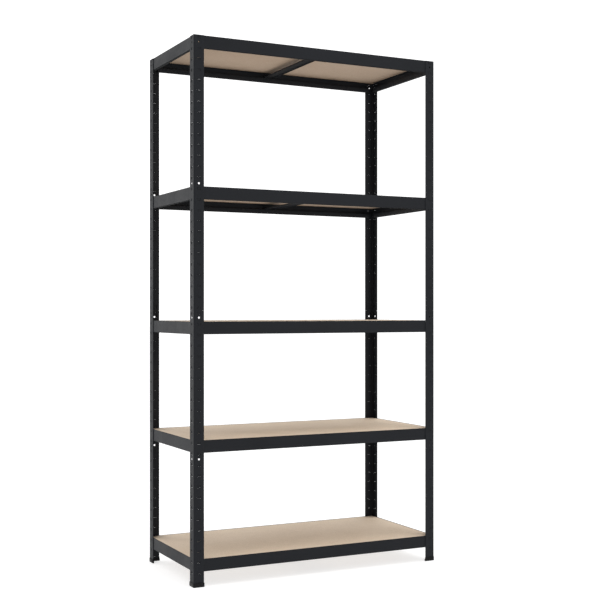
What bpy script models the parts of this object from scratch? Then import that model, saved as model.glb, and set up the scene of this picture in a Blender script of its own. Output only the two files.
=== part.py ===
"""Boltless steel shelving with five board shelves.

Four angle posts, each spliced from two equal halves, carry four folded steel beams on
every level.  The beam ends hang by tongues behind lanced straps in the post flanges.  Each
level holds one loose wood board on the beams' ledges and a tie bar below it.

Metres, +Z up, front towards -Y.  The origin is on the floor, under the unit's centre.
"""
from math import cos, pi, sin

import bmesh
import bpy
from mathutils import Matrix

# Driving dimensions over the post's outer faces
WIDTH = 0.925
DEPTH = 0.438
HEIGHT = 1.800
GAP = 0.0003                  # clearance between pieces that touch
SHEET = 0.0008                # steel thickness

# Angle post, one half
LEG = 0.036
CORNER_RADIUS = 0.0025
HEM = 0.0038                  # folded free edge of a flange, two sheets thick
FOOT_BASE = 0.0020
HALF_LENGTH = (HEIGHT - FOOT_BASE - 2 * GAP) / 2
PITCH = 0.0352
LAST_ROW = 25                 # rows are counted down from the half's top end
FIRST_ROW = 0.0087            # strap centre below the half's top end
SLOT_CENTRE = LEG / 2
POCKET_WIDTH = 0.014
POCKET_HEIGHT = 0.008
USED_ROWS = {"lower": (0, 1, 2, 12, 13, 23, 24), "upper": (0, 1, 14, 15, LAST_ROW)}
HOLE_RADIUS = 0.00325
HOLE_DROPS = (0.0225, 0.4838)                          # below the half's top end

# Tongue behind the flange, and the strap that is lanced inwards to hold it
TONGUE_NEAR = SHEET + GAP
TONGUE_FAR = TONGUE_NEAR + 0.0007
STRAP_FLAT_DEPTH = TONGUE_FAR + GAP
STRAP_FLAT_HALF = 0.0052

# Levels: (half of the post, rows below that half's top end), bottom shelf first
LEVELS = (("lower", 23), ("lower", 12), ("lower", 1), ("upper", 14), ("upper", 0))

# Beam section: web behind the post's hemmed edge, ledge for the board, upturned lower lip
WEB_DEPTH = 2 * SHEET + GAP
BEAM_HEIGHT = 0.042
LEDGE_DROP = 0.0068
LEDGE_REACH = 0.013
LIP_REACH = 0.012
LIP_DROP = 0.0273
OVERLAP = 0.0004              # how far joined shapes run into each other
SKIP = 0.0001                 # keeps joined faces out of one plane
END_PLATE_START = 0.005
SECTION_START = 0.027

# Tongues of a beam end or splice, along the flange from the slot centre
WINDOW_HALF = 0.008
TONGUE_HALF = 0.004
TONGUE_LENGTH = 0.006
STRAP_ROOM = POCKET_HEIGHT + GAP + 0.0065              # strap and the travel that frees it
SAFETY_HOLE_RADIUS = 0.0021

# Splice angle inside the post
SPLICE_BELOW = 0.0331
SPLICE_ABOVE = 0.0369
SPLICE_LEG = 0.031

# Plastic foot
FOOT_WALL = 0.0010
FOOT_HEIGHT = 0.014
FOOT_INNER_HEIGHT = 0.0080
FOOT_INNER_EDGE = 0.0042
FOOT_END = LEG + GAP + FOOT_WALL

# Board and tie bar
BOARD_INSET = 0.0054
BOARD_THICKNESS = 0.006
BOARD_DROP = 0.0005
TIE_WIDTH = 0.036
TIE_TOP_DROP = 0.0210
TIE_HEIGHT = 0.0060
TIE_HOOK_WIDTH = 0.024
TIE_HOOK_LENGTH = 0.013

CORNERS = (("front_left", -1, -1, 0.0), ("front_right", 1, -1, pi / 2),
           ("back_right", 1, 1, pi), ("back_left", -1, 1, -pi / 2))

ALONG_X = Matrix(((0, 0, 1, 0), (1, 0, 0, 0), (0, 1, 0, 0), (0, 0, 0, 1)))
ALONG_Y = Matrix(((1, 0, 0, 0), (0, 0, -1, 0), (0, 1, 0, 0), (0, 0, 0, 1)))
SWAP_FLANGES = Matrix(((0, 1, 0, 0), (1, 0, 0, 0), (0, 0, 1, 0), (0, 0, 0, 1)))


def clear_scene():
    for item in list(bpy.data.objects):
        bpy.data.objects.remove(item, do_unlink=True)


def new_collection(name):
    collection = bpy.data.collections.new(name)
    bpy.context.scene.collection.children.link(collection)
    return collection


def new_material(name, colour, roughness, metallic):
    material = bpy.data.materials.new(name)
    material.use_nodes = True
    shader = material.node_tree.nodes["Principled BSDF"]
    shader.inputs["Base Color"].default_value = (*colour, 1.0)
    shader.inputs["Roughness"].default_value = roughness
    shader.inputs["Metallic"].default_value = metallic
    return material


def arc(centre, radius, start, end, steps):
    """Points on an arc from the start angle to the end angle, both included."""
    angles = [start + (end - start) * i / steps for i in range(steps + 1)]
    return [(centre[0] + radius * cos(a), centre[1] + radius * sin(a)) for a in angles]


def rectangle(x0, y0, x1, y1):
    return [(x0, y0), (x1, y0), (x1, y1), (x0, y1)]


def prism(outline, low, high, matrix=Matrix.Identity(4)):
    """Closed prism of a flat outline; it runs from low to high along local Z."""
    curve = bpy.data.curves.new("outline", "CURVE")
    curve.dimensions = "2D"
    curve.fill_mode = "BOTH"
    curve.extrude = (high - low) / 2
    spline = curve.splines.new("POLY")
    spline.points.add(len(outline) - 1)
    for target, (x, y) in zip(spline.points, outline):
        target.co = (x, y, 0.0, 1.0)
    spline.use_cyclic_u = True
    holder = bpy.data.objects.new("outline", curve)
    bpy.context.scene.collection.objects.link(holder)
    graph = bpy.context.evaluated_depsgraph_get()
    mesh = bpy.data.meshes.new_from_object(holder.evaluated_get(graph))
    bpy.data.objects.remove(holder, do_unlink=True)
    mesh.transform(matrix @ Matrix.Translation((0.0, 0.0, (low + high) / 2)))
    return tidy_mesh(mesh)


def tidy_mesh(mesh):
    """Weld the rims of the caps, merge flat neighbours and turn every face outwards."""
    shape = bmesh.new()
    shape.from_mesh(mesh)
    bmesh.ops.remove_doubles(shape, verts=shape.verts, dist=1e-6)
    bmesh.ops.dissolve_limit(shape, angle_limit=0.001, verts=shape.verts, edges=shape.edges)
    bmesh.ops.recalc_face_normals(shape, faces=shape.faces)
    shape.to_mesh(mesh)
    shape.free()
    return mesh


def joined(meshes):
    """One mesh that holds several bodies which stay clear of each other."""
    shape = bmesh.new()
    for mesh in meshes:
        shape.from_mesh(mesh)
    result = bpy.data.meshes.new("joined")
    shape.to_mesh(result)
    shape.free()
    return result


def combine(base, steps):
    """Apply Boolean steps to a mesh; each step is an operation and the mesh it uses."""
    target = bpy.data.objects.new("target", base)
    bpy.context.scene.collection.objects.link(target)
    helpers = []
    for operation, mesh in steps:
        helper = bpy.data.objects.new("helper", mesh)
        bpy.context.scene.collection.objects.link(helper)
        helpers.append(helper)
        modifier = target.modifiers.new(operation.lower(), "BOOLEAN")
        modifier.operation = operation
        modifier.solver = "EXACT"
        modifier.object = helper
    graph = bpy.context.evaluated_depsgraph_get()
    result = bpy.data.meshes.new_from_object(target.evaluated_get(graph))
    for item in [target, *helpers]:
        bpy.data.objects.remove(item, do_unlink=True)
    return tidy_mesh(result)


def flange_frames():
    """Turn a shape of the flange along X (x along it, y its depth) onto both flanges."""
    return Matrix.Identity(4), SWAP_FLANGES


def angle_section(inner, reach, thickness):
    """L outline with its corner at (inner, inner) and legs out to reach."""
    outer = inner + thickness
    return [(inner, inner), (reach, inner), (reach, outer), (outer, outer), (outer, reach),
            (inner, reach)]


def strap_outline():
    """Strap across a pocket: distance along the flange, depth from its outer face."""
    half, flat, depth = POCKET_WIDTH / 2, STRAP_FLAT_HALF, STRAP_FLAT_DEPTH
    outer = flat + SHEET / 2
    points = [(-half, 0.0), (-flat, depth), (flat, depth), (half, 0.0), (half, SHEET),
              (outer, depth + SHEET), (-outer, depth + SHEET), (-half, SHEET)]
    return [(SLOT_CENTRE + u, v) for u, v in points]


def post_mesh(rows):
    """One half of a post: its outer corner on the Z axis, flanges along +X and +Y."""
    bend = arc((CORNER_RADIUS, CORNER_RADIUS), CORNER_RADIUS, pi, 1.5 * pi, 4)
    hem_start = LEG - HEM
    section = [*bend, (LEG, 0.0), (LEG, 2 * SHEET), (hem_start, 2 * SHEET),
               (hem_start, SHEET), (SHEET, SHEET), (SHEET, hem_start),
               (2 * SHEET, hem_start), (2 * SHEET, LEG), (0.0, LEG)]
    body = prism(section, 0.0, HALF_LENGTH)

    pocket = rectangle(SLOT_CENTRE - POCKET_WIDTH / 2, -SHEET,
                       SLOT_CENTRE + POCKET_WIDTH / 2, 1.5 * SHEET)
    openings = []
    straps = []
    for row in rows:
        centre = HALF_LENGTH - FIRST_ROW - row * PITCH
        low, high = centre - POCKET_HEIGHT / 2, centre + POCKET_HEIGHT / 2
        for frame in flange_frames():
            openings.append(prism(pocket, low, high, frame))
            straps.append(prism(strap_outline(), low, high, frame))
    for drop in HOLE_DROPS:
        circle = arc((SLOT_CENTRE, HALF_LENGTH - drop), HOLE_RADIUS, 0.0, 1.75 * pi, 7)
        for frame in flange_frames():
            openings.append(prism(circle, -1.5 * SHEET, SHEET, frame @ ALONG_Y))
    return combine(body, [("DIFFERENCE", joined(openings)), ("UNION", joined(straps))])


def window(centre, seat, end):
    """Window that lets a strap through and leaves it room to be unhooked."""
    return rectangle(centre - WINDOW_HALF, min(seat, end), centre + WINDOW_HALF, max(seat, end))


def tongue(centre, seat, direction, frame=Matrix.Identity(4)):
    """Tongue stepped outwards over a strap; it hangs down (-1) or stands up (+1)."""
    inside = WEB_DEPTH + OVERLAP
    shoulder = seat - direction * SKIP
    root = seat - direction * SHEET
    tip = seat + direction * TONGUE_LENGTH
    outline = [(inside, root), (TONGUE_NEAR, root), (TONGUE_NEAR, tip), (TONGUE_FAR, tip),
               (TONGUE_FAR, shoulder), (inside, shoulder)]
    return prism(outline, centre - TONGUE_HALF, centre + TONGUE_HALF, frame @ ALONG_X)


def beam_web(span):
    """Flat web of a beam along X, with the windows and tongues of both ends."""
    near, far = WEB_DEPTH, WEB_DEPTH + SHEET
    end = span / 2 - END_PLATE_START
    seat = -FIRST_ROW + POCKET_HEIGHT / 2 + GAP
    notch = seat - PITCH
    cutters = []
    tongues = []
    for side in (-1, 1):
        slot = side * (span / 2 - SLOT_CENTRE)
        hole = arc((slot, -HOLE_DROPS[0]), SAFETY_HOLE_RADIUS, 0.0, 5 / 3 * pi, 5)
        cuts = [hole, window(slot, seat, seat - STRAP_ROOM),
                window(slot, notch, -2 * BEAM_HEIGHT)]
        cutters += [prism(cut, -far - SHEET, -near + SHEET, ALONG_Y) for cut in cuts]
        tongues += [tongue(slot, seat, -1), tongue(slot, notch, -1)]
    plate = prism(rectangle(-end, -BEAM_HEIGHT, end, 0.0), -far, -near, ALONG_Y)
    return combine(plate, [("DIFFERENCE", joined(cutters)), ("UNION", joined(tongues))])


def beam_mesh(span):
    """Beam along X; y runs inwards from the posts' outer face, z = 0 is the shelf's top."""
    start = WEB_DEPTH + SHEET - OVERLAP
    rim = WEB_DEPTH + 2 * SHEET
    ledge_low = -LEDGE_DROP - SHEET
    upper = [(start, -SKIP), (rim, -SKIP), (rim, -LEDGE_DROP),
             (WEB_DEPTH + LEDGE_REACH, -LEDGE_DROP), (WEB_DEPTH + LEDGE_REACH, ledge_low),
             (start, ledge_low)]
    base = -BEAM_HEIGHT + SKIP
    lip = WEB_DEPTH + LIP_REACH
    lower = [(start, base), (lip, base), (lip, -LIP_DROP), (lip - SHEET, -LIP_DROP),
             (lip - SHEET, base + SHEET), (start, base + SHEET)]
    half = span / 2 - SECTION_START
    folds = [prism(outline, -half, half, ALONG_X) for outline in (upper, lower)]
    return combine(beam_web(span), [("UNION", fold) for fold in folds])


def splice_mesh():
    """Angle that joins two post halves; z = 0 is the lower half's top end."""
    body = prism(angle_section(WEB_DEPTH, SPLICE_LEG, SHEET), -SPLICE_BELOW, SPLICE_ABOVE)
    lower_strap = -FIRST_ROW
    upper_strap = GAP + HALF_LENGTH - FIRST_ROW - LAST_ROW * PITCH
    half = POCKET_HEIGHT / 2 + GAP
    lower_seat = lower_strap + half
    upper_seat = upper_strap - half
    past_hole = -HOLE_DROPS[0] - HOLE_RADIUS - SHEET
    windows = [window(SLOT_CENTRE, lower_seat, past_hole),
               window(SLOT_CENTRE, upper_seat, upper_seat + STRAP_ROOM)]
    cutters = []
    tongues = []
    for frame in flange_frames():
        for opening in windows:
            cutters.append(prism(opening, -WEB_DEPTH - 2 * SHEET, -WEB_DEPTH + SHEET,
                                 frame @ ALONG_Y))
        tongues.append(tongue(SLOT_CENTRE, lower_seat, -1, frame))
        tongues.append(tongue(SLOT_CENTRE, upper_seat, 1, frame))
    return combine(body, [("DIFFERENCE", joined(cutters)), ("UNION", joined(tongues))])


def foot_mesh():
    """L-shaped plastic shoe round the post's lower end; z = 0 is the floor."""
    edge = -GAP - FOOT_WALL
    radius = CORNER_RADIUS + FOOT_WALL
    corner = arc((edge + radius, edge + radius), radius, pi, 1.5 * pi, 4)
    shoe = [*corner, (FOOT_END, edge), (FOOT_END, FOOT_INNER_EDGE),
            (FOOT_INNER_EDGE, FOOT_INNER_EDGE), (FOOT_INNER_EDGE, FOOT_END), (edge, FOOT_END)]
    bend = arc((CORNER_RADIUS, CORNER_RADIUS), CORNER_RADIUS + GAP, pi, 1.5 * pi, 4)
    groove_end = LEG + GAP
    groove_inner = WEB_DEPTH
    groove = [*bend, (groove_end, -GAP), (groove_end, groove_inner),
              (groove_inner, groove_inner), (groove_inner, groove_end), (-GAP, groove_end)]
    trim = angle_section(SHEET, LEG + FOOT_WALL + SHEET, 2 * FOOT_INNER_EDGE)
    top = 2 * FOOT_HEIGHT
    return combine(prism(shoe, 0.0, FOOT_HEIGHT),
                   [("DIFFERENCE", prism(groove, FOOT_BASE, top)),
                    ("DIFFERENCE", prism(trim, FOOT_INNER_HEIGHT, top))])


def board_mesh():
    half_x = WIDTH / 2 - BOARD_INSET
    half_y = DEPTH / 2 - BOARD_INSET
    outline = rectangle(-half_x, -half_y, half_x, half_y)
    return prism(outline, -BOARD_DROP - BOARD_THICKNESS, -BOARD_DROP)


def tie_bar_mesh():
    """Shallow channel from front to back that hooks over the beams' upturned lips."""
    half = TIE_WIDTH / 2
    top = -TIE_TOP_DROP
    low = top - TIE_HEIGHT
    channel = [(-half, low), (-half, top), (half, top), (half, low), (half - SHEET, low),
               (half - SHEET, top - SHEET), (-half + SHEET, top - SHEET),
               (-half + SHEET, low)]
    hook_face = DEPTH / 2 - WEB_DEPTH - LIP_REACH + SHEET + GAP
    hook_end = hook_face + SHEET
    body = prism(channel, -hook_end, hook_end, ALONG_Y)
    hooks = []
    for side in (-1, 1):
        near, far = sorted((side * hook_face, side * (hook_end - SKIP)))
        outline = rectangle(-TIE_HOOK_WIDTH / 2, near, TIE_HOOK_WIDTH / 2, far)
        hooks.append(prism(outline, top - TIE_HOOK_LENGTH, top - SHEET / 2))
    return combine(body, [("UNION", joined(hooks))])


def place(name, mesh, material, collection, location, turn=0.0):
    """Node at a location, turned about Z; equal pieces share one mesh."""
    if not mesh.materials:
        mesh.materials.append(material)
    node = bpy.data.objects.new(name, mesh)
    node.location = location
    node.rotation_euler = (0.0, 0.0, turn)
    collection.objects.link(node)
    return node


def build():
    clear_scene()
    collection = new_collection("boltless_shelving")
    steel = new_material("anthracite_powder_coat", (0.022, 0.024, 0.027), 0.45, 0.3)
    wood = new_material("pressed_board", (0.60, 0.50, 0.39), 0.75, 0.0)
    plastic = new_material("black_plastic", (0.012, 0.012, 0.012), 0.55, 0.0)

    posts = {half: post_mesh(rows) for half, rows in USED_ROWS.items()}
    splice = splice_mesh()
    foot = foot_mesh()
    long_beam = beam_mesh(WIDTH)
    short_beam = beam_mesh(DEPTH)
    board = board_mesh()
    tie_bar = tie_bar_mesh()

    bases = {"lower": FOOT_BASE + GAP, "upper": FOOT_BASE + 2 * GAP + HALF_LENGTH}
    splice_z = bases["lower"] + HALF_LENGTH
    for name, side_x, side_y, turn in CORNERS:
        x, y = side_x * WIDTH / 2, side_y * DEPTH / 2
        for half, z in bases.items():
            place(f"post_{name}_{half}", posts[half], steel, collection, (x, y, z), turn)
        place(f"splice_{name}", splice, steel, collection, (x, y, splice_z), turn)
        place(f"foot_{name}", foot, plastic, collection, (x, y, 0.0), turn)

    for number, (half, row) in enumerate(LEVELS, start=1):
        z = bases[half] + HALF_LENGTH - row * PITCH
        place(f"beam_front_{number}", long_beam, steel, collection, (0.0, -DEPTH / 2, z))
        place(f"beam_back_{number}", long_beam, steel, collection, (0.0, DEPTH / 2, z), pi)
        place(f"beam_left_{number}", short_beam, steel, collection,
              (-WIDTH / 2, 0.0, z), -pi / 2)
        place(f"beam_right_{number}", short_beam, steel, collection,
              (WIDTH / 2, 0.0, z), pi / 2)
        place(f"board_{number}", board, wood, collection, (0.0, 0.0, z))
        place(f"tie_bar_{number}", tie_bar, steel, collection, (0.0, 0.0, z))


build()
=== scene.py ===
"""Looks of the boltless steel shelving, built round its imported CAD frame.

Posts, splices, beams and tie bars are folded sheet: a bent middle surface is thickened and
then cut.  Boards and feet are solid.  Metres, +Z up, front towards -Y.
"""

from math import atan2, cos, pi, radians, sin, tan

import bmesh
import bpy
from mathutils import Matrix, Vector


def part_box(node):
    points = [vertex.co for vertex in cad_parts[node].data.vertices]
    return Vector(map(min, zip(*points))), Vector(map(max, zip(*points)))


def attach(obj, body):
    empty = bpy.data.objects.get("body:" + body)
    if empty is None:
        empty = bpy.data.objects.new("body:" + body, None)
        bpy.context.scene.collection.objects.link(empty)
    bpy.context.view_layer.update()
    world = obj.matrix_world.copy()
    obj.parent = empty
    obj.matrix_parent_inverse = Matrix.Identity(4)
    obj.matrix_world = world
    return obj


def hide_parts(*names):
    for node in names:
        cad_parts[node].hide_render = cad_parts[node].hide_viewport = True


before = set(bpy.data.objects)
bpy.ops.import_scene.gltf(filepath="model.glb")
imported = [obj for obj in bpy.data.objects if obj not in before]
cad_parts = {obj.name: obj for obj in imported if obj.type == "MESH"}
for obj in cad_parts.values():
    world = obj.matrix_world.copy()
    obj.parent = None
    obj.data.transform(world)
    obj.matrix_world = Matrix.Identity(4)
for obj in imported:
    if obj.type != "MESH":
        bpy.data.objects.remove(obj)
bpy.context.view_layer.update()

# Sheet and straps, a little thinner and shallower than in the frame, so that less light
# shows through the slots
SHEET = 0.0007
HALF_SHEET = SHEET / 2
STRAP_DEPTH = 0.0013

CLEARANCE = 0.0003
FOLD = 0.00045                # middle radius of a flattened fold
FOLD_STEPS = 6
SMOOTH_ANGLE = radians(34)
BEVEL_ANGLE = radians(40)
SAME_PLACE = 1e-7             # points closer than this are one point

# Post: slots are measured from its corner, rows and holes down from its top end
POST_BEND = 0.00205
HEM = 0.0038
PITCH = 0.0352
ROWS = 26
FIRST_ROW = 0.0087
SLOT_CENTRE = 0.018
POCKET_HALF = 0.007
POCKET_HEIGHT = 0.008
STRAP_FLAT = 0.0048
STRAP_COLUMNS = (0.0070, 0.0067, 0.0064, 0.0061, 0.0058, 0.0055, 0.0052, 0.0048, 0.0026)
HOLE_RADIUS = 0.00325
HOLE_STEPS = 24
HOLE_DROPS = (0.0225, 0.4838)
DRILL_REACH = 0.0015

# Beam: depths are measured in from the post's outer face, drops down from the top edge
WEB_DEPTH = 0.0019
BEAM_HEIGHT = 0.042
LEDGE_DROP = 0.0068
LEDGE_END = 0.0149
LEDGE_BEND = 0.0010
LIP_END = 0.0139
LIP_DROP = 0.0273
LIP_BEND = 0.0013
LOWER_BEND = 0.0024
END_PLATE_START = 0.005
SECTION_START = 0.027
PLATE_STEP = 0.0008
SAFETY_HOLE_RADIUS = 0.0021
SAFETY_HOLE_STEPS = 18

# Tongues, with the windows beside them, and the cutters' reach past the web's outer face
WINDOW_HALF = 0.008
WINDOW_LENGTH = 0.0148
TONGUE_HALF = 0.004
TONGUE_LENGTH = 0.006
TONGUE_TAPER = 0.0014
TONGUE_NEAR = 0.0008
TONGUE_FAR = 0.0012
RISER_GAP = 0.0001
RISER_INTO_WEB = 0.0003
RISER_INTO_BLADE = 0.0002
CUT_OUTWARDS = 0.001
CUT_INWARDS = 0.002

# Splice and tie bar
SPLICE_BEND = 0.0012
TIE_SIDE_DROP = 0.006
TIE_BEND = 0.0012
TIE_BEND_STEPS = 5
HOOK_HALF = 0.012
HOOK_BEND = 0.0011

# Board
SAWN_EDGE_BREAK = 0.00045

# Foot: measured from the post's corner and up from the floor
FOOT_WALL = 0.0010
FOOT_CORNER = 0.0035
FOOT_BEND_STEPS = 8
FOOT_INSIDE = 0.0042
SOLE = 0.002
SOLE_ROUNDING = 0.0018
GROOVE_BEND = 0.0025
INNER_WALL_TOP = 0.008
TRIM_START = 0.001
TRIM_END = 0.0095
RIM_BREAK = 0.0003

# Surfaces: depth of the relief, width of the rubbed edges (on the coat partly painted
# highlight), shift of the pattern by piece
COAT_RELIEF = 0.00006
BOARD_RELIEF = 0.00018
PLASTIC_RELIEF = 0.00008
FLOOR_RELIEF = 0.0001
COAT_RUB_AND_HIGHLIGHT_WIDTH = 0.0007
PLASTIC_RUB = 0.0008
PIECE_SHIFT = (37.0, 53.0, 71.0)

# Colours, linear
COAT_DARK = (0.0062, 0.0072, 0.0094, 1.0)
COAT_LIGHT = (0.0089, 0.0101, 0.0130, 1.0)
COAT_GRAIN = (0.0184, 0.0198, 0.0232, 1.0)
# Lighter coat along edges: partly wear, partly painted highlight of the folds
COAT_RUBBED_AND_HIGHLIGHT = (0.085, 0.088, 0.092, 1.0)
# Darker coat for faces that look down: painted shade
COAT_PAINTED_UNDERSIDE_SHADE = (0.0054, 0.0060, 0.0074, 1.0)
FIBRE_DARK = (0.555, 0.440, 0.325, 1.0)
FIBRE_LIGHT = (0.745, 0.610, 0.472, 1.0)
BOARD_MOTTLE = (0.57, 0.450, 0.325, 1.0)
BOARD_CLOUD = (0.76, 0.630, 0.492, 1.0)
BOARD_SPECK = (0.26, 0.185, 0.120, 1.0)
# Darker underside: partly the raw back side, partly painted shade
BOARD_BACK_AND_PAINTED_SHADE = (0.150, 0.090, 0.054, 1.0)
BOARD_SAWN = (0.19, 0.130, 0.084, 1.0)
PLASTIC_DARK = (0.0030, 0.0030, 0.0032, 1.0)
PLASTIC_LIGHT = (0.0060, 0.0060, 0.0063, 1.0)
PLASTIC_RUBBED = (0.035, 0.035, 0.034, 1.0)
FLOOR_DARK = (0.45, 0.45, 0.45, 1.0)
FLOOR_LIGHT = (0.48, 0.48, 0.48, 1.0)
WHITE = (1.0, 1.0, 1.0, 1.0)

# Studio
FLOOR_RADIUS = 60.0
FLOOR_GLOW = 0.68             # keeps the shade under the unit as pale as a light table
BRIGHT_SIDE = (0.35, 0.85, 0.35)
SURROUNDINGS = {"From Min": -0.9, "From Max": 0.85, "To Min": 0.62, "To Max": 1.30}
LAMPS = {                     # place, aim, width and power
    "left": ((-1.60, 1.55, 1.10), (-0.46, 0.0, 1.0), 0.8, 2.0),
    "front": ((1.3, -3.0, 1.7), (0.1, 0.0, 0.5), 1.0, 6.0),
    "overhead": ((0.4, -0.8, 4.2), (0.0, 0.0, 0.9), 2.2, 45.0)}
CAMERA_PLACE = (-1.8045, -3.6896, 0.9057)
CAMERA_TURN = radians(-26.46)
LENS = 68.443
LENS_SHIFT = 0.01553
SENSOR = 36.0

ALONG_Y = Matrix(((1, 0, 0, 0), (0, 0, -1, 0), (0, 1, 0, 0), (0, 0, 0, 1)))
SWAP_FLANGES = Matrix(((0, 1, 0, 0), (1, 0, 0, 0), (0, 0, 1, 0), (0, 0, 0, 1)))
CORNERS = {"front_left": (-1, -1, 0.0), "front_right": (1, -1, pi / 2),
           "back_right": (1, 1, pi), "back_left": (-1, 1, -pi / 2)}
SIDES = {"front": 0.0, "right": pi / 2, "back": pi, "left": -pi / 2}
LEVELS = range(1, 6)


# ---------------------------------------------------------------- materials
class Nodes:
    """Short way to write a material's node tree."""

    def __init__(self, name):
        self.material = bpy.data.materials.new(name)
        self.material.use_nodes = True
        self.tree = self.material.node_tree
        self.shader = self.tree.nodes["Principled BSDF"]

    def add(self, kind, settings=None, **inputs):
        made = self.tree.nodes.new("ShaderNode" + kind)
        for key, value in (settings or {}).items():
            setattr(made, key, value)
        for key, value in inputs.items():
            self.plug(made.inputs[key.replace("_", " ")], value)
        return made

    def plug(self, socket, value):
        if isinstance(value, bpy.types.NodeSocket):
            self.tree.links.new(value, socket)
        else:
            socket.default_value = value

    def place(self):
        """Object coordinates, shifted by a random amount for each piece."""
        where = self.add("TexCoord").outputs["Object"]
        chance = self.add("ObjectInfo").outputs["Random"]
        shift = self.add("VectorMath", {"operation": "SCALE"}, Scale=chance)
        shift.inputs[0].default_value = PIECE_SHIFT
        moved = self.add("VectorMath", {"operation": "ADD"})
        self.plug(moved.inputs[0], where)
        self.plug(moved.inputs[1], shift.outputs[0])
        return moved.outputs[0]

    def noise(self, where, scale, detail=3.0, rough=0.5, distortion=0.0):
        return self.add("TexNoise", Vector=where, Scale=scale, Detail=detail,
                        Roughness=rough, Distortion=distortion).outputs["Fac"]

    def ranged(self, value, low, high, to_low, to_high):
        """Value from low to high, mapped to the other range and held inside it."""
        made = self.add("MapRange", {"clamp": True}, Value=value)
        for key, number in (("From Min", low), ("From Max", high),
                            ("To Min", to_low), ("To Max", to_high)):
            made.inputs[key].default_value = number
        return made.outputs["Result"]

    def math(self, operation, first, second):
        made = self.add("Math", {"operation": operation})
        self.plug(made.inputs[0], first)
        self.plug(made.inputs[1], second)
        return made.outputs[0]

    def mix(self, share, first, second):
        made = self.add("Mix", {"data_type": "RGBA"})
        self.plug(made.inputs[0], share)
        self.plug(made.inputs[6], first)
        self.plug(made.inputs[7], second)
        return made.outputs[2]

    def upright(self):
        """Z of the face normal: 1 on faces that look up, -1 on faces that look down."""
        parts = self.add("SeparateXYZ")
        self.plug(parts.inputs[0], self.add("NewGeometry").outputs["True Normal"])
        return parts.outputs["Z"]

    def stretched(self, where, factors):
        made = self.add("VectorMath", {"operation": "MULTIPLY"})
        self.plug(made.inputs[0], where)
        made.inputs[1].default_value = factors
        return made.outputs[0]

    def edges(self, radius, low, high):
        """1 along convex and concave edges, 0 on flat ground."""
        rounded = self.add("Bevel", {"samples": 6}, Radius=radius).outputs["Normal"]
        flat = self.add("NewGeometry").outputs["Normal"]
        dot = self.add("VectorMath", {"operation": "DOT_PRODUCT"})
        self.plug(dot.inputs[0], rounded)
        self.plug(dot.inputs[1], flat)
        return self.ranged(dot.outputs["Value"], 1.0 - low, 1.0 - high, 0.0, 1.0)

    def finish(self, colour, roughness, height, depth, **sockets):
        """The material, with its colour, roughness and relief on the shader."""
        bump = self.add("Bump", Strength=1.0, Distance=depth, Height=height)
        self.plug(self.shader.inputs["Base Color"], colour)
        self.plug(self.shader.inputs["Roughness"], roughness)
        self.plug(self.shader.inputs["Normal"], bump.outputs["Normal"])
        for key, value in sockets.items():
            self.shader.inputs[key.replace("_", " ")].default_value = value
        return self.material


def powder_coat():
    """Anthracite satin powder coat: orange peel, fine grain, faint rubbed edges that are
    partly painted highlight.

    Faces that look down are duller, and darker by painted shade.
    """
    n = Nodes("anthracite_powder_coat")
    where = n.place()
    peel = n.noise(where, 520.0, detail=2.0)
    grain = n.noise(where, 2600.0, rough=0.6)
    cloud = n.noise(where, 7.0, detail=4.0, rough=0.55)
    scuff = n.noise(where, 85.0, detail=5.0, rough=0.65, distortion=0.6)
    height = n.math("ADD", n.math("MULTIPLY", peel, 0.7), n.math("MULTIPLY", grain, 0.3))
    tone = n.mix(n.ranged(cloud, 0.3, 0.7, 0.0, 1.0), COAT_DARK, COAT_LIGHT)
    tone = n.mix(n.ranged(grain, 0.52, 0.78, 0.0, 0.35), tone, COAT_GRAIN)
    # Edges lightened: partly wear, partly painted highlight
    wear_and_painted_highlight = n.math("MULTIPLY", n.edges(COAT_RUB_AND_HIGHLIGHT_WIDTH, 0.04, 0.30),
                  n.ranged(scuff, 0.50, 0.70, 0.14, 0.60))
    tone = n.mix(wear_and_painted_highlight, tone, COAT_RUBBED_AND_HIGHLIGHT)
    rough = n.ranged(n.math("ADD", cloud, n.math("MULTIPLY", scuff, 0.5)),
                     0.5, 1.0, 0.44, 0.58)
    # Faces that look down: rougher, and darkened as painted shade
    dull_underside_and_painted_shade = n.ranged(n.upright(), -0.5, -0.8, 0.0, 1.0)
    rough = n.math("MAXIMUM", rough, n.math("MULTIPLY", dull_underside_and_painted_shade, 0.95))
    tone = n.mix(dull_underside_and_painted_shade, tone, COAT_PAINTED_UNDERSIDE_SHADE)
    return n.finish(tone, rough, height, COAT_RELIEF, Metallic=0.0,
                    Specular_IOR_Level=0.17)


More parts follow.
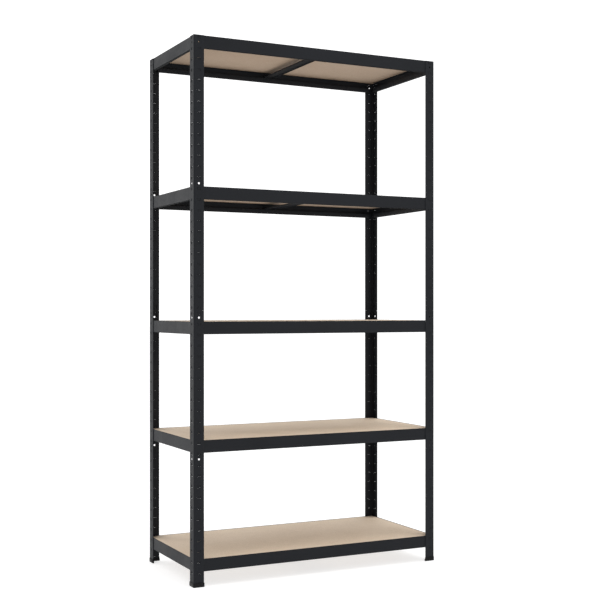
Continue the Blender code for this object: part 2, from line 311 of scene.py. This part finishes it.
def fibre_board():
    """Pressed wood board: short fibres, specks, cloudy tone, darker sawn edges, and an
    underside darkened as its raw back side and as painted shade.
    """
    n = Nodes("pressed_fibre_board")
    where = n.place()
    long_x = n.stretched(where, (0.35, 1.0, 1.0))
    long_y = n.stretched(where, (1.0, 0.35, 1.0))
    fibres_x = n.noise(long_x, 620.0, rough=0.6, distortion=0.8)
    fibres_y = n.noise(long_y, 540.0, rough=0.6, distortion=0.8)
    fibres = n.math("MAXIMUM", fibres_x, fibres_y)
    cloud = n.noise(where, 5.5, detail=4.0, rough=0.6)
    mottle = n.noise(where, 42.0, detail=4.0, rough=0.6)
    speck = n.noise(where, 340.0, detail=2.0)
    tone = n.mix(n.ranged(fibres, 0.42, 0.72, 0.0, 1.0), FIBRE_DARK, FIBRE_LIGHT)
    tone = n.mix(n.ranged(mottle, 0.35, 0.70, 0.0, 0.30), tone, BOARD_MOTTLE)
    tone = n.mix(n.ranged(cloud, 0.35, 0.70, 0.0, 0.35), tone, BOARD_CLOUD)
    tone = n.mix(n.ranged(speck, 0.70, 0.78, 0.0, 0.55), tone, BOARD_SPECK)
    upright = n.upright()
    # Underside darkened: partly the raw back side, partly painted shade
    tone = n.mix(n.ranged(upright, -0.4, -0.6, 0.0, 0.62), tone, BOARD_BACK_AND_PAINTED_SHADE)
    sawn = n.ranged(n.math("ABSOLUTE", upright, 0.0), 0.75, 0.45, 0.0, 0.75)
    tone = n.mix(sawn, tone, BOARD_SAWN)
    height = n.math("ADD", n.math("MULTIPLY", fibres, 0.7), n.math("MULTIPLY", mottle, 0.3))
    return n.finish(tone, n.ranged(fibres, 0.35, 0.75, 0.88, 0.66), height, BOARD_RELIEF,
                    Metallic=0.0, Specular_IOR_Level=0.35)


def moulded_plastic():
    """Black moulded plastic: spark-eroded grain, greyer rubbed edges."""
    n = Nodes("black_moulded_plastic")
    where = n.place()
    grain = n.noise(where, 1500.0, rough=0.6)
    cloud = n.noise(where, 60.0)
    tone = n.mix(n.ranged(cloud, 0.35, 0.65, 0.0, 1.0), PLASTIC_DARK, PLASTIC_LIGHT)
    rubbed = n.math("MULTIPLY", n.edges(PLASTIC_RUB, 0.05, 0.35),
                    n.ranged(cloud, 0.45, 0.65, 0.05, 0.45))
    tone = n.mix(rubbed, tone, PLASTIC_RUBBED)
    return n.finish(tone, n.ranged(grain, 0.3, 0.7, 0.46, 0.62), grain, PLASTIC_RELIEF,
                    Metallic=0.0, Specular_IOR_Level=0.16)


# ---------------------------------------------------------------- shapes
def arc(centre, radius, start, end, steps):
    angles = [start + (end - start) * i / steps for i in range(steps + 1)]
    return [(centre[0] + radius * cos(a), centre[1] + radius * sin(a)) for a in angles]


def circle(centre, radius, steps=HOLE_STEPS):
    return arc(centre, radius, 0.0, 2 * pi * (steps - 1) / steps, steps - 1)


def bent_path(corners, radii, steps=FOLD_STEPS):
    """Flat path through the corners; a corner that has a radius is rounded."""
    path = [Vector(corners[0])]
    for before, corner, after, radius in zip(corners, corners[1:], corners[2:], radii):
        corner = Vector(corner)
        if radius == 0:
            path.append(corner)
            continue
        back = (Vector(before) - corner).normalized()
        ahead = (Vector(after) - corner).normalized()
        half = back.angle(ahead) / 2
        centre = corner + (back + ahead).normalized() * radius / sin(half)
        start = corner + back * radius / tan(half) - centre
        end = corner + ahead * radius / tan(half) - centre
        turn = atan2(start.x * end.y - start.y * end.x, start.dot(end))
        for i in range(steps + 1):
            a = turn * i / steps
            point = centre + Vector((start.x * cos(a) - start.y * sin(a),
                                     start.x * sin(a) + start.y * cos(a)))
            if (point - path[-1]).length > SAME_PLACE:
                path.append(point)
    path.append(Vector(corners[-1]))
    return path


def add_grid(shape, columns, rows, place, keep):
    """Quads of a bent sheet; place gives a grid point and keep says which quads exist."""
    made = {}

    def point(i, j):
        if (i, j) not in made:
            made[i, j] = shape.verts.new(place(i, j))
        return made[i, j]

    for i in range(columns - 1):
        for j in range(rows - 1):
            if keep(i, j):
                shape.faces.new((point(i, j), point(i + 1, j), point(i + 1, j + 1),
                                 point(i, j + 1)))
    return made


def prism(outline, low, high, matrix=Matrix.Identity(4)):
    """Closed prism of a flat outline from low to high along local Z."""
    shape = bmesh.new()
    face = shape.faces.new([shape.verts.new((x, y, low)) for x, y in outline])
    raised = bmesh.ops.extrude_face_region(shape, geom=[face])["geom"]
    bmesh.ops.translate(shape, vec=(0.0, 0.0, high - low),
                        verts=[v for v in raised if isinstance(v, bmesh.types.BMVert)])
    bmesh.ops.transform(shape, matrix=matrix, verts=shape.verts)
    bmesh.ops.recalc_face_normals(shape, faces=shape.faces)
    mesh = bpy.data.meshes.new("prism")
    shape.to_mesh(mesh)
    shape.free()
    return mesh


def joined(meshes):
    """One mesh of several."""
    shape = bmesh.new()
    for mesh in meshes:
        shape.from_mesh(mesh)
    result = bpy.data.meshes.new("joined")
    shape.to_mesh(result)
    shape.free()
    return result


def solid(name, base, material, thickness=0.0, steps=(), bevel=0.0):
    """Thicken a mesh, apply its Boolean steps, bevel it, then fix its shading."""
    if isinstance(base, bmesh.types.BMesh):
        mesh = bpy.data.meshes.new(name)
        base.to_mesh(mesh)
        base.free()
        base = mesh
    target = bpy.data.objects.new(name, base)
    bpy.context.scene.collection.objects.link(target)
    if thickness:
        thick = target.modifiers.new("sheet", "SOLIDIFY")
        thick.thickness = thickness
        thick.offset = 0.0
        thick.use_even_offset = True
    helpers = []
    for operation, meshes in steps:
        helper = bpy.data.objects.new("helper", joined(meshes))
        bpy.context.scene.collection.objects.link(helper)
        helpers.append(helper)
        step = target.modifiers.new(operation.lower(), "BOOLEAN")
        step.operation = operation
        step.solver = "EXACT"
        step.object = helper
    if bevel:
        rounding = target.modifiers.new("bevel", "BEVEL")
        rounding.width = bevel
        rounding.segments = 3
        rounding.limit_method = "ANGLE"
        rounding.angle_limit = BEVEL_ANGLE
        rounding.harden_normals = True
    graph = bpy.context.evaluated_depsgraph_get()
    result = bpy.data.meshes.new_from_object(target.evaluated_get(graph))
    for item in [target, *helpers]:
        bpy.data.objects.remove(item, do_unlink=True)
    result.materials.clear()
    result.materials.append(material)
    result.shade_smooth()
    result.set_sharp_from_angle(angle=SMOOTH_ANGLE)
    return result


def strap_depth(offset):
    """How far the lanced strap stands in at this distance from the slot's centre."""
    t = (POCKET_HALF - abs(offset)) / (POCKET_HALF - STRAP_FLAT)
    t = max(0.0, min(1.0, t))
    return STRAP_DEPTH * t * t * (3 - 2 * t)


def post_mesh(material, leg, length):
    """One post half: hemmed angle with a lanced strap in every row of both flanges."""
    mid, fold_in = HALF_SHEET, HALF_SHEET + 2 * FOLD
    tip = leg - HALF_SHEET
    offsets = sorted({s * o for o in STRAP_COLUMNS for s in (-1, 1)} | {0.0})
    near = [SLOT_CENTRE + o for o in offsets]
    corners = [(leg - HEM, fold_in), (tip, fold_in), (tip, mid)]
    corners += [(x, mid) for x in reversed(near)]
    corners += [(mid, mid)]
    corners += [(mid, y) for y in near]
    corners += [(mid, tip), (fold_in, tip), (fold_in, leg - HEM)]
    straight = [0.0] * len(near)
    radii = [FOLD, FOLD, *straight, POST_BEND, *straight, FOLD, FOLD]
    path = bent_path(corners, radii)

    def first_column(value, axis):
        return min(i for i, p in enumerate(path) if abs(p[axis] - value) < SAME_PLACE
                   and abs(p[1 - axis] - mid) < SAME_PLACE)

    # Column where each flange's slots start, the way inwards there, and the offsets in order
    starts = {first_column(near[-1], 0): (Vector((0, 1)), list(reversed(offsets))),
              first_column(near[0], 1): (Vector((1, 0)), offsets)}
    span = len(near) - 1
    inside = {c for s in starts for c in range(s, s + span)}
    heights = [0.0, length]
    for row in range(ROWS):
        centre = length - FIRST_ROW - row * PITCH
        heights += [centre - POCKET_HEIGHT / 2, centre + POCKET_HEIGHT / 2]
    heights.sort()
    pocket_rows = range(1, len(heights) - 1, 2)

    shape = bmesh.new()
    made = add_grid(shape, len(path), len(heights),
                    lambda i, j: (path[i].x, path[i].y, heights[j]),
                    lambda i, j: not (i in inside and j in pocket_rows))
    for j in pocket_rows:
        for start, (inward, order) in starts.items():
            rail = []
            for k, offset in enumerate(order):
                if k in (0, span):
                    rail.append((made[start + k, j], made[start + k, j + 1]))
                    continue
                at = path[start + k] + inward * strap_depth(offset)
                rail.append((shape.verts.new((at.x, at.y, heights[j])),
                             shape.verts.new((at.x, at.y, heights[j + 1]))))
            for (a, b), (c, d) in zip(rail, rail[1:]):
                shape.faces.new((a, c, d, b))
    drills = []
    for drop in HOLE_DROPS:
        drill = circle((SLOT_CENTRE, length - drop), HOLE_RADIUS)
        for turn in (Matrix.Identity(4), SWAP_FLANGES):
            drills.append(prism(drill, -DRILL_REACH, DRILL_REACH, turn @ ALONG_Y))
    return solid("post_half", shape, material, SHEET, [("DIFFERENCE", drills)])


def window(centre, seat, end):
    """Window that lets a strap through and leaves it room to be unhooked."""
    low, high = sorted((seat, end))
    return [(centre - WINDOW_HALF, low), (centre + WINDOW_HALF, low),
            (centre + WINDOW_HALF, high), (centre - WINDOW_HALF, high)]


def tongue(centre, seat, direction, flange=Matrix.Identity(4)):
    """Blade stepped outwards over a strap, tapered to its tip, and its riser from the web."""
    tip = seat + direction * TONGUE_LENGTH
    shoulder = tip - direction * 2 * TONGUE_TAPER
    root = seat - direction * SHEET
    narrow = TONGUE_HALF - TONGUE_TAPER
    blade = [(centre - TONGUE_HALF, root), (centre - TONGUE_HALF, shoulder),
             (centre - narrow, tip), (centre + narrow, tip),
             (centre + TONGUE_HALF, shoulder), (centre + TONGUE_HALF, root)]
    riser = [(centre - TONGUE_HALF, root), (centre + TONGUE_HALF, root),
             (centre + TONGUE_HALF, seat - direction * RISER_GAP),
             (centre - TONGUE_HALF, seat - direction * RISER_GAP)]
    turn = flange @ ALONG_Y
    return [prism(blade, -TONGUE_FAR, -TONGUE_NEAR, turn),
            prism(riser, -WEB_DEPTH - RISER_INTO_WEB, -TONGUE_FAR + RISER_INTO_BLADE, turn)]


def web_cutter(outline, flange=Matrix.Identity(4)):
    """Cutter through the sheet that lies against the post's inner face."""
    return prism(outline, -WEB_DEPTH - CUT_INWARDS, -WEB_DEPTH + CUT_OUTWARDS,
                 flange @ ALONG_Y)


def cut_and_hung(cutters, tongues):
    """Boolean steps: the openings are cut, then all blades and all risers are added."""
    return [("DIFFERENCE", cutters), *(("UNION", group) for group in zip(*tongues))]


def beam_mesh(material, span):
    """Beam along X: hemmed top, board ledge, flat web, rounded lower fold and lip."""
    mid = WEB_DEPTH + HALF_SHEET
    skin = mid + 2 * FOLD
    top, bottom = -HALF_SHEET, -BEAM_HEIGHT + HALF_SHEET
    ledge = -LEDGE_DROP - HALF_SHEET
    corners = [(LEDGE_END, ledge), (skin, ledge), (skin, top), (mid, top), (mid, bottom),
               (LIP_END - HALF_SHEET, bottom), (LIP_END - HALF_SHEET, -LIP_DROP)]
    path = bent_path(corners, [LEDGE_BEND, FOLD, FOLD, LOWER_BEND, LIP_BEND])
    crest = Vector((mid + FOLD, top))
    apex = min(range(len(path)), key=lambda i: (path[i] - crest).length)
    web = [i for i, p in enumerate(path) if abs(p.x - mid) < SAME_PLACE]
    fold_end = web[-1] + FOLD_STEPS // 2
    end, start = span / 2 - END_PLATE_START, span / 2 - SECTION_START
    stations = [-end, -start - PLATE_STEP, -start, start, start + PLATE_STEP, end]

    def place(i, j):
        """Point of the section, or past its ends of the flat plate behind the post."""
        if j in (2, 3):
            return stations[j], path[i].x, path[i].y
        if i <= web[0]:
            height = path[web[0]].y * (i - apex) / (web[0] - apex)
        elif i >= web[-1]:
            low = path[web[-1]].y
            height = low + (-BEAM_HEIGHT - low) * (i - web[-1]) / (fold_end - web[-1])
        else:
            height = path[i].y
        return stations[j], mid, height

    shape = bmesh.new()
    add_grid(shape, len(path), len(stations), place,
             lambda i, j: j == 2 or apex <= i < fold_end)
    seat = -FIRST_ROW + POCKET_HEIGHT / 2 + CLEARANCE
    notch = seat - PITCH
    cutters, tongues = [], []
    for side in (-1, 1):
        slot = side * (span / 2 - SLOT_CENTRE)
        for outline in (window(slot, seat, seat - WINDOW_LENGTH),
                        window(slot, notch, -2 * BEAM_HEIGHT),
                        circle((slot, -HOLE_DROPS[0]), SAFETY_HOLE_RADIUS,
                               SAFETY_HOLE_STEPS)):
            cutters.append(web_cutter(outline))
        for height in (seat, notch):
            tongues.append(tongue(slot, height, -1))
    return solid("beam", shape, material, SHEET, cut_and_hung(cutters, tongues))


def splice_mesh(material, reach, below, above, length):
    """Angle inside the post joint; z = 0 is the lower half's top end."""
    mid = WEB_DEPTH + HALF_SHEET
    path = bent_path([(reach, mid), (mid, mid), (mid, reach)], [SPLICE_BEND])
    heights = [-below, above]
    shape = bmesh.new()
    add_grid(shape, len(path), 2, lambda i, j: (path[i].x, path[i].y, heights[j]),
             lambda i, j: True)
    half = POCKET_HEIGHT / 2 + CLEARANCE
    upper_row = CLEARANCE + length - FIRST_ROW - (ROWS - 1) * PITCH
    lower_seat, upper_seat = half - FIRST_ROW, upper_row - half
    cutters, tongues = [], []
    for turn in (Matrix.Identity(4), SWAP_FLANGES):
        for outline in (window(SLOT_CENTRE, lower_seat, -HOLE_DROPS[0] - HOLE_RADIUS - SHEET),
                        window(SLOT_CENTRE, upper_seat, upper_seat + WINDOW_LENGTH)):
            cutters.append(web_cutter(outline, turn))
        tongues.append(tongue(SLOT_CENTRE, lower_seat, -1, turn))
        tongues.append(tongue(SLOT_CENTRE, upper_seat, 1, turn))
    return solid("splice", shape, material, SHEET, cut_and_hung(cutters, tongues))


def tie_bar_mesh(material, half_width, half_length, height):
    """Channel from front to back, open below, whose ends hook down behind the lips."""
    side, top = half_width - HALF_SHEET, -HALF_SHEET
    corners = [(-side, -TIE_SIDE_DROP), (-side, top), (-HOOK_HALF, top), (HOOK_HALF, top),
               (side, top), (side, -TIE_SIDE_DROP)]
    section = bent_path(corners, [TIE_BEND, 0.0, 0.0, TIE_BEND], TIE_BEND_STEPS)
    end = half_length - HALF_SHEET
    hook = bent_path([(0.0, top), (end, top), (end, -height)], [HOOK_BEND])[1:]
    along = [(-y, z) for y, z in reversed(hook)] + [(y, z) for y, z in hook]
    tail = len(hook)
    columns = [i for i, p in enumerate(section) if abs(p.x) <= HOOK_HALF + SAME_PLACE]

    def place(i, j):
        """Point of the channel; only its middle strip follows the hooks down."""
        y, z = along[j]
        if columns[0] <= i <= columns[-1]:
            return section[i].x, y, z
        return section[i].x, y, section[i].y

    shape = bmesh.new()
    add_grid(shape, len(section), len(along), place,
             lambda i, j: j == tail - 1 or columns[0] <= i < columns[-1])
    return solid("tie_bar", shape, material, SHEET)


def board_mesh(material, size):
    """Loose board with its sawn edges just broken."""
    x, y = size.x / 2, size.y / 2
    outline = [(-x, -y), (x, -y), (x, y), (-x, y)]
    return solid("board", prism(outline, 0.0, size.z), material, bevel=SAWN_EDGE_BREAK)


def foot_mesh(material, size):
    """Moulded shoe on the post's end: rounded corner, low inner wall, rounded sole."""
    edge, end = -CLEARANCE - FOOT_WALL, size.x - CLEARANCE - FOOT_WALL
    corner = arc((edge + FOOT_CORNER, edge + FOOT_CORNER), FOOT_CORNER, pi, 1.5 * pi,
                 FOOT_BEND_STEPS)
    shoe = [*corner, (end, edge), (end, FOOT_INSIDE), (FOOT_INSIDE, FOOT_INSIDE),
            (FOOT_INSIDE, end), (edge, end)]
    bend = arc((GROOVE_BEND, GROOVE_BEND), GROOVE_BEND + CLEARANCE, pi, 1.5 * pi,
               FOOT_BEND_STEPS)
    groove_end = end - FOOT_WALL
    groove = [*bend, (groove_end, -CLEARANCE), (groove_end, WEB_DEPTH),
              (WEB_DEPTH, WEB_DEPTH), (WEB_DEPTH, groove_end), (-CLEARANCE, groove_end)]
    reach = 2 * size.x
    trim = [(TRIM_START, TRIM_START), (reach, TRIM_START), (reach, TRIM_END),
            (TRIM_END, TRIM_END), (TRIM_END, reach), (TRIM_START, reach)]
    steps = [("DIFFERENCE", [prism(groove, SOLE, 2 * size.z)]),
             ("DIFFERENCE", [prism(trim, INNER_WALL_TOP, 2 * size.z)])]
    shape = bmesh.new()
    shape.from_mesh(prism(shoe, 0.0, size.z))
    rim = [e for e in shape.edges if all(abs(v.co.z) < SAME_PLACE for v in e.verts)]
    bmesh.ops.bevel(shape, geom=rim, offset=SOLE_ROUNDING, segments=4, profile=0.5,
                    affect="EDGES")
    return solid("foot", shape, material, steps=steps, bevel=RIM_BREAK)


# ---------------------------------------------------------------- placing
def put(name, mesh, location, turn, body, slot, *nodes):
    """Place one piece, turned about Z, on a body and in the place of its nodes."""
    piece = bpy.data.objects.new(name, mesh)
    bpy.context.scene.collection.objects.link(piece)
    piece.location = location
    piece.rotation_euler = (0.0, 0.0, turn)
    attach(piece, body)
    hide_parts(*nodes)


def size_of(node):
    low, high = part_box(node)
    return high - low


def build_object():
    steel, wood, plastic = powder_coat(), fibre_board(), moulded_plastic()
    low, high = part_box("post_front_left_lower")
    half_x, half_y, leg, length = -low.x, -low.y, high.x - low.x, high.z - low.z
    joint = high.z
    splice_low, splice_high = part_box("splice_front_left")
    post = post_mesh(steel, leg, length)
    splice = splice_mesh(steel, splice_high.x + half_x, joint - splice_low.z,
                         splice_high.z - joint, length)
    foot = foot_mesh(plastic, size_of("foot_front_left"))
    for name, (side_x, side_y, turn) in CORNERS.items():
        x, y = side_x * half_x, side_y * half_y
        for part in ("lower", "upper"):
            node = f"post_{name}_{part}"
            put(f"angle_{name}_{part}", post, (x, y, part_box(node)[0].z), turn, "frame",
                "steel", node)
        put(f"joint_{name}", splice, (x, y, joint), turn, "frame", "steel",
            f"splice_{name}")
        put(f"shoe_{name}", foot, (x, y, 0.0), turn, "frame", "plastic", f"foot_{name}")

    long_beam, short_beam = beam_mesh(steel, 2 * half_x), beam_mesh(steel, 2 * half_y)
    outer = {"front": (0.0, -half_y), "back": (0.0, half_y), "left": (-half_x, 0.0),
             "right": (half_x, 0.0)}
    tie_low, tie_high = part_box("tie_bar_1")
    tie = tie_bar_mesh(steel, tie_high.x, tie_high.y, tie_high.z - tie_low.z)
    board = board_mesh(wood, size_of("board_1"))
    for level in LEVELS:
        for side, turn in SIDES.items():
            node = f"beam_{side}_{level}"
            mesh = long_beam if side in ("front", "back") else short_beam
            put(f"rail_{side}_{level}", mesh, (*outer[side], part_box(node)[1].z), turn,
                "frame", "steel", node)
        put(f"tie_{level}", tie, (0.0, 0.0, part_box(f"tie_bar_{level}")[1].z), 0.0, "frame",
            "steel", f"tie_bar_{level}")
        put(f"shelf_{level}", board, (0.0, 0.0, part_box(f"board_{level}")[0].z), 0.0,
            f"shelf_board_{level}", "board", f"board_{level}")


# ---------------------------------------------------------------- studio
def floor_material():
    """Pale floor with a glow of its own."""
    n = Nodes("pale_floor")
    where = n.add("TexCoord").outputs["Object"]
    cloud = n.noise(where, 1.5, detail=2.0)
    tone = n.mix(cloud, FLOOR_DARK, FLOOR_LIGHT)
    return n.finish(tone, n.ranged(cloud, 0.3, 0.7, 0.75, 0.85), cloud, FLOOR_RELIEF,
                    Specular_IOR_Level=0.2, Emission_Color=WHITE,
                    Emission_Strength=FLOOR_GLOW)


def add_floor():
    shape = bmesh.new()
    bmesh.ops.create_circle(shape, cap_ends=True, segments=96, radius=FLOOR_RADIUS)
    mesh = bpy.data.meshes.new("floor")
    shape.to_mesh(mesh)
    shape.free()
    mesh.materials.append(floor_material())
    floor = bpy.data.objects.new("floor", mesh)
    bpy.context.scene.collection.objects.link(floor)


def add_surroundings():
    """White light from all round, strongest from the bright side."""
    world = bpy.data.worlds.new("studio")
    bpy.context.scene.world = world
    world.use_nodes = True
    tree = world.node_tree
    where = tree.nodes.new("ShaderNodeTexCoord")
    dot = tree.nodes.new("ShaderNodeVectorMath")
    dot.operation = "DOT_PRODUCT"
    dot.inputs[1].default_value = Vector(BRIGHT_SIDE).normalized()
    tree.links.new(where.outputs["Generated"], dot.inputs[0])
    level = tree.nodes.new("ShaderNodeMapRange")
    for key, value in SURROUNDINGS.items():
        level.inputs[key].default_value = value
    tree.links.new(dot.outputs["Value"], level.inputs["Value"])
    tree.links.new(level.outputs["Result"], tree.nodes["Background"].inputs["Strength"])
    tree.nodes["Background"].inputs["Color"].default_value = WHITE


def add_lamp(name, place, aim, size, power):
    lamp = bpy.data.lights.new(name, "AREA")
    lamp.shape = "DISK"
    lamp.size = size
    lamp.energy = power
    holder = bpy.data.objects.new(name, lamp)
    bpy.context.scene.collection.objects.link(holder)
    holder.location = place
    towards = Vector(aim) - Vector(place)
    holder.rotation_euler = towards.to_track_quat("-Z", "Y").to_euler()


def add_camera():
    lens = bpy.data.cameras.new("camera")
    lens.lens = LENS
    lens.sensor_width = SENSOR
    lens.shift_y = LENS_SHIFT
    camera = bpy.data.objects.new("camera", lens)
    bpy.context.scene.collection.objects.link(camera)
    camera.location = CAMERA_PLACE
    camera.rotation_euler = (pi / 2, 0.0, CAMERA_TURN)
    bpy.context.scene.camera = camera
    bpy.context.scene.view_settings.view_transform = "Standard"


def build_studio():
    add_floor()
    add_surroundings()
    for name, settings in LAMPS.items():
        add_lamp(name, *settings)
    add_camera()


build_object()
build_studio()
